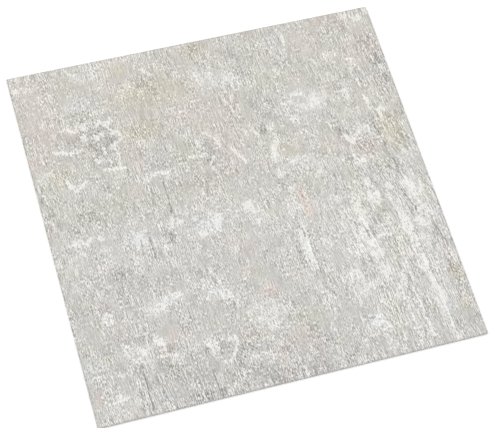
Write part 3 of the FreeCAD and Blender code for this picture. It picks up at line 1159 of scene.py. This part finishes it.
@dataclass(frozen=True)
class PrintedFilm:
    """The finish of the face: the print under a matt wear layer.

    A tone or gain is what a field adds to the brightness, and a loss what it takes away. The rim
    shade is painted shade, a darker band along the rim as if the rolled edge were in shadow; its
    reach and full are how far from the edge it starts and is whole, in millimetres.
    """

    warm_ground: Colour = (203.3, 200.0, 193.0)
    cool_ground: Colour = (201.8, 200.0, 195.0)
    ochre: Colour = (206.0, 200.0, 184.0)
    rose: Colour = (209.0, 200.0, 193.5)
    olive: Colour = (200.0, 200.0, 188.5)
    slate: Colour = (200.0, 200.0, 198.5)
    blush: Colour = (210.5, 199.5, 191.0)
    ground_tone: float = 0.892
    roughness: float = 0.56
    hair_tone: float = 0.72
    stroke_tone: float = 0.92
    light_bias: float = 0.7
    scratch_loss: float = 0.12
    fibre_tone: float = 0.06
    groove_tone: float = 0.05
    fleck_tone: float = 0.03
    mottle_tone: float = 0.05
    cloud_tone: float = 0.06
    patch_tone: float = 0.105
    lime_gain: float = 0.29
    mark_gain: float = 1.4
    wear_and_shadow_loss: float = 0.12
    crack_loss: float = 0.32
    rim_shade_loss: float = 0.13
    rim_shade_reach: float = 1.5
    rim_shade_full: float = 0.4
    pale_ground: float = 0.12
    pale_lime: float = 0.30
    pale_grain: float = 0.8
    pale_most: float = 0.6
    darkest: float = 0.4
    lightest: float = 1.4

    def material(self) -> bpy.types.Material:
        """Builds the finish.

        The ground is tinted by soft masks. A brightness then goes up in the limewash and down in
        the wear and the cracks, in the painted shadow beside the white curls and in a painted shade
        band along the rim, and the grain, pores and mottling are laid over all of it. The palest
        places lose their tint.

        Returns:
            The material.
        """
        g = ShaderGraph("printed_film")
        grain = self.grain(g)
        lime, worn = self.limed(g, grain), self.worn(g, grain)
        crack = (g.mask(Layer.CRACK) + 0.25 * grain.chips).step(0.4, 0.55)
        texture = self.hair_tone * grain.hairs + self.stroke_tone * grain.strokes * grain.busy
        level = self.ground_tone + texture + self.light_bias * texture * texture
        level = level - self.scratch_loss * grain.scratches
        level = level + self.fibre_tone * grain.fibres + self.groove_tone * g.mask(Layer.FIBRE)
        level = level + self.fleck_tone * (grain.flecks - grain.chips) * grain.busy
        level = level + self.mottle_tone * grain.cluster + self.cloud_tone * grain.cloud
        level = level + self.patch_tone * (g.mask(Layer.LIMEWASH) - g.mask(Layer.WORN_GREY))
        # Painted shade: worn holds the shadow painted beside each white curl as well as the real
        # wear.
        level = level + self.lime_gain * lime - self.wear_and_shadow_loss * worn
        # Painted shade: a darker band along the rim, standing in for the rolled edge's shade.
        level = level - self.rim_shade_loss * self.rim(g)
        level = (level - self.crack_loss * crack).within(self.darkest, self.lightest)
        pale = self.pale_ground + self.pale_lime * lime + self.pale_grain * texture
        tinted = self.tinted(g, grain.cluster)
        colour = g.blend(pale.within(0.0, self.pale_most), tinted, linear(*self.slate))

        height = 1.2 * grain.strokes + 0.4 * grain.flecks
        rough = self.roughness - 0.06 * lime + 0.05 * worn + 0.1 * grain.strokes
        return g.finish(
            {
                "Base Color": g.shade(colour, level),
                "Roughness": rough.within(0.3, 0.9),
                "Specular IOR Level": 0.4,
                "Normal": g.bump(height, 0.5, 0.06),
            }
        )

    @staticmethod
    def grain(g: ShaderGraph) -> Grain:
        """Makes the fine fields. Combed patches have more hairs, and still ones less of all.

        Args:
            g: The graph.

        Returns:
            The fields.
        """
        combed, worn_grey = g.mask(Layer.COMBED), g.mask(Layer.WORN_GREY)
        cluster = g.noise(6.0, 8.0, detail=3.0)
        region = g.noise(14.0, 24.0, detail=1.0)
        hairs = g.noise(0.58, 11.0, detail=0.0, shift=0.15)
        drawn = g.noise(2.2, 24.0, detail=1.0, shift=0.1)
        curled = g.noise(4.2, 5.0, detail=2.0, shift=0.5, rough=0.6)
        busy = 0.7 + 0.8 * cluster + 1.2 * region + 0.3 * worn_grey + 0.3 * g.mask(Layer.LIMEWASH)
        return Grain(
            strokes=g.noise(0.52, 2.3, detail=0.0, shift=0.35),
            hairs=hairs * (0.6 + 0.4 * combed + 1.2 * region).within(0.3, 1.4),
            scratches=(drawn.ridge(0.0, 0.09) - drawn.ridge(0.11, 0.08)) * (0.4 + 0.9 * combed),
            fibres=g.noise(1.7, 13.0, detail=2.0, shift=0.1).step(-0.3, 0.3) - 0.5,
            flecks=g.noise(1.5, 2.1, detail=2.0, shift=0.8),
            chips=g.noise(1.5, 3.0, detail=2.0, shift=0.6),
            cluster=cluster,
            curls=curled.ridge(0.0, 0.10),
            # Painted shade: a dark line along one side of each white curl.
            curl_shadows=curled.ridge(0.14, 0.10),
            cloud=g.noise(16.0, 24.0, detail=2.0, grain=False),
            busy=busy.within(0.25, 1.4) * (1 - 0.75 * g.mask(Layer.STILL)),
        )

    def limed(self, g: ShaderGraph, grain: Grain) -> Signal:
        """Lays the lime on the flecks and curls of the limewash, and thickest on its marks.

        Args:
            g: The graph.
            grain: The fine fields.

        Returns:
            How much lime there is, from 0 to the marks' gain.
        """
        limewash = g.mask(Layer.LIMEWASH)
        curls = 0.35 * grain.curls * (1 + 0.7 * g.mask(Layer.WORN_GREY))
        lime = 0.6 * (limewash * limewash) + curls + 0.55 * grain.flecks + 0.4 * grain.cluster
        vein = g.mask(Layer.LIME_MARK) + 1.2 * grain.flecks + 0.3 * grain.strokes
        return lime.step(0.47, 0.57).or_more(self.mark_gain * vein.step(0.42, 0.58))

    @staticmethod
    def worn(g: ShaderGraph, grain: Grain) -> Signal:
        """Wears the print through on the chips of the worn grey, and paints shade beside the curls.

        Args:
            g: The graph.
            grain: The fine fields.

        Returns:
            How dark the print gets from wear and from the painted curl shadow, from 0 to 1.
        """
        worn_grey = g.mask(Layer.WORN_GREY)
        # The curl shadows are painted shade, darkening the print beside each white curl like wear.
        worn = 0.5 * (worn_grey * worn_grey) + 0.30 * grain.curl_shadows + 0.55 * grain.chips
        return (worn - 0.4 * grain.cluster).step(0.48, 0.64)

    def tinted(self, g: ShaderGraph, mottle: Signal) -> Any:
        """The ground, warm at the far side and cool at the near side, with each faint tint on it.

        Args:
            g: The graph.
            mottle: A field that breaks the tints' edges up.

        Returns:
            The colour's socket.
        """
        far = g.coordinate("Y").step(-30.0, 70.0)
        colour = g.blend(far, linear(*self.cool_ground), linear(*self.warm_ground))
        tints = {
            Layer.SLATE: self.slate,
            Layer.OLIVE: self.olive,
            Layer.ROSE: self.rose,
            Layer.OCHRE: self.ochre,
            Layer.BLUSH: self.blush,
        }
        for layer, tint in tints.items():
            share = (g.mask(layer) * (1.0 + 0.4 * mottle)).within(0.0, 1.0)
            colour = g.blend(share, colour, linear(*tint))
        return colour

    def rim(self, g: ShaderGraph) -> Signal:
        """The band along the rim that is darkened: painted shade of the rolled edge.

        Args:
            g: The graph.

        Returns:
            A smooth step from 0 at the rim shade's reach to 1 near the edge.
        """
        outwards = g.coordinate("X").size().or_more(g.coordinate("Y").size())
        half = CAD_BOX[1][0] / MM
        return outwards.step(half - self.rim_shade_reach, half - self.rim_shade_full)


@dataclass(frozen=True)
class CutEdge:
    """The finish of the cut sides: filled vinyl, with the film's pale line along the top."""

    core: Colour = (162, 160, 155)
    chalk: Colour = (198, 196, 191)
    film: Colour = (206, 204, 200)
    film_bottom: float = 1.05
    film_blur: float = 0.03
    roughness: float = 0.72

    def material(self) -> bpy.types.Material:
        """Builds the finish: a mottled core with chalk specks, and the film on top.

        Returns:
            The material.
        """
        g = ShaderGraph("cut_edge")
        specks = g.noise(0.35, 0.35, detail=3.0, grain=False, rough=0.7)
        mottle = g.noise(0.5, 0.5, detail=2.0, grain=False)
        colour = g.blend(specks.step(0.1, 0.5), linear(*self.core), linear(*self.chalk))
        height = g.coordinate("Z") + 0.06 * mottle
        in_film = height.step(self.film_bottom - self.film_blur, self.film_bottom + self.film_blur)
        colour = g.blend(in_film, colour, linear(*self.film))
        return g.finish(
            {
                "Base Color": g.shade(colour, 1.0 + 0.12 * mottle),
                "Roughness": (self.roughness + 0.1 * specks).within(0.4, 1.0),
                "Specular IOR Level": 0.35,
                "Normal": g.bump(specks + mottle, 0.6, 0.03),
            }
        )


@dataclass(frozen=True)
class PlainBack:
    """The finish of the back: unprinted filled vinyl with the fine pattern of its roller."""

    base: Colour = (184, 182, 176)
    dust: Colour = (200, 198, 193)
    pitch: float = 1.2
    roughness: float = 0.78

    def material(self) -> bpy.types.Material:
        """Builds the finish: a fine weave pressed by the roller, chalk bloom and mottling.

        The weave is the product of two sines, one of x + y and one of x - y.

        Returns:
            The material.
        """
        g = ShaderGraph("plain_back")
        bloom = g.noise(9.0, 12.0, detail=4.0, grain=False, rough=0.6)
        specks = g.noise(0.8, 0.8, detail=2.0, grain=False)
        x, y = g.coordinate("X"), g.coordinate("Y")
        turn = math.tau / self.pitch
        weave = ((x + y) * turn).sine() * ((x - y) * turn).sine()
        dusty = (bloom * 0.8 + 0.35 * specks + 0.4).within(0.0, 1.0)
        colour = g.blend(dusty, linear(*self.base), linear(*self.dust))
        level = 1.0 + 0.05 * weave + 0.06 * specks
        return g.finish(
            {
                "Base Color": g.shade(colour, level),
                "Roughness": (self.roughness + 0.08 * bloom).within(0.4, 1.0),
                "Specular IOR Level": 0.3,
                "Normal": g.bump(weave + 0.5 * specks, 0.5, 0.05),
            }
        )


@dataclass(frozen=True)
class VinylTile:
    """The whole tile: its sheet and the finishes of its three surfaces."""

    sheet: TileSheet
    face: PrintedFilm = field(default_factory=PrintedFilm)
    edge: CutEdge = field(default_factory=CutEdge)
    back: PlainBack = field(default_factory=PlainBack)

    def make(self) -> bpy.types.Object:
        """Builds and dresses the tile, and puts it in the CAD tile's place.

        Returns:
            The tile.
        """
        tile = self.sheet.build("vinyl_tile_printed")
        for finish in (self.face, self.edge, self.back):
            tile.data.materials.append(finish.material())
        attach(tile, TILE_BODY)
        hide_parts(TILE_NODE)
        return tile


@dataclass(frozen=True)
class Studio:
    """The plain pale floor, the soft light and the camera. Sizes are in millimetres."""

    floor_size: float = 9000.0
    floor_drop: float = 0.1
    floor_tone: float = 0.98
    sky: float = 1.0
    key_light: float = 0.62
    key_spread: float = 50.0
    key_from: tuple[float, float, float] = (-0.75, 0.55, 0.9)
    image_width: int = 494
    sensor: float = 36.0
    focal_pixels: float = 1716.0
    azimuth: float = -24.61
    elevation: float = 62.71
    roll: float = 9.52
    distance: float = 1339.0
    aim: tuple[float, float, float] = (2.2, -9.7, 0.0)
    nearest: float = 10.0
    furthest: float = 30000.0

    def build(self) -> None:
        """Makes the floor, the lights and the camera."""
        self.floor()
        self.lights()
        self.camera()

    def floor(self) -> None:
        """A large flat sheet just under the tile."""
        half = self.floor_size / 2 * MM
        height = -self.floor_drop * MM
        corners = [(x * half, y * half, height) for x, y in ((-1, -1), (1, -1), (1, 1), (-1, 1))]
        mesh = bpy.data.meshes.new("studio_floor")
        mesh.from_pydata(corners, [], [(0, 1, 2, 3)])
        tone = (self.floor_tone,) * 3 + (1.0,)
        g = ShaderGraph("studio_paper")
        mesh.materials.append(
            g.finish({"Base Color": tone, "Roughness": 0.9, "Specular IOR Level": 0.0})
        )
        sheet = bpy.data.objects.new("studio_floor", mesh)
        bpy.context.collection.objects.link(sheet)

    def lights(self) -> None:
        """An even white sky, and one wide soft sun that brings out the relief."""
        world = bpy.data.worlds.new("studio_sky")
        world.use_nodes = True
        background = world.node_tree.nodes["Background"]
        background.inputs["Color"].default_value = (1.0, 1.0, 1.0, 1.0)
        background.inputs["Strength"].default_value = self.sky
        bpy.context.scene.world = world
        lamp = bpy.data.lights.new("studio_key", "SUN")
        lamp.energy = self.key_light
        lamp.angle = math.radians(self.key_spread)
        key = bpy.data.objects.new("studio_key", lamp)
        key.rotation_euler = Vector(self.key_from).to_track_quat("Z", "Y").to_euler()
        bpy.context.collection.objects.link(key)

    def camera(self) -> None:
        """A long lens above the near left of the tile, turned a little on its own axis."""
        azimuth, elevation = math.radians(self.azimuth), math.radians(self.elevation)
        back = Vector(
            (
                math.sin(azimuth) * math.cos(elevation),
                -math.cos(azimuth) * math.cos(elevation),
                math.sin(elevation),
            )
        )
        right = (-back).cross(Vector((0, 0, 1))).normalized()
        up = right.cross(-back)
        turn = Matrix.Rotation(math.radians(self.roll), 3, back)
        axes = Matrix((turn @ right, turn @ up, back)).transposed()
        data = bpy.data.cameras.new("studio_camera")
        data.sensor_width = self.sensor
        data.lens = self.focal_pixels / self.image_width * self.sensor
        data.clip_start, data.clip_end = self.nearest * MM, self.furthest * MM
        camera = bpy.data.objects.new("studio_camera", data)
        place = (Vector(self.aim) + back * self.distance) * MM
        camera.matrix_world = Matrix.Translation(place) @ axes.to_4x4()
        bpy.context.collection.objects.link(camera)
        bpy.context.scene.camera = camera


def design_print() -> PrintDesign:
    """Gathers the layers into the print's design.

    Returns:
        The design.
    """
    inks = {
        Layer.LIMEWASH: LIMEWASH,
        Layer.WORN_GREY: WORN_GREY,
        Layer.OCHRE: OCHRE,
        Layer.ROSE: ROSE,
        Layer.OLIVE: OLIVE,
        Layer.SLATE: SLATE,
        Layer.BLUSH: BLUSH,
        Layer.COMBED: COMBED,
        Layer.STILL: STILL,
    }
    return PrintDesign(inks, LIME_MARKS, CRACKS)


def main() -> None:
    """Builds the tile and the studio, and reports what was made."""
    logging.basicConfig(level=logging.INFO, format="%(name)s: %(message)s")
    bpy.context.scene.view_settings.view_transform = "Standard"
    low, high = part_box(TILE_NODE)
    length, width, thickness = ((high[k] - low[k]) / MM for k in range(3))
    sheet = TileSheet(length, width, thickness, design_print())
    tile = VinylTile(sheet).make()
    log.info("%s: %d vertices, %d faces", tile.name, len(tile.data.vertices), len(tile.data.polygons))
    Studio().build()
    log.info("studio: floor, sky, key light and camera")


if __name__ == "__main__":
    main()
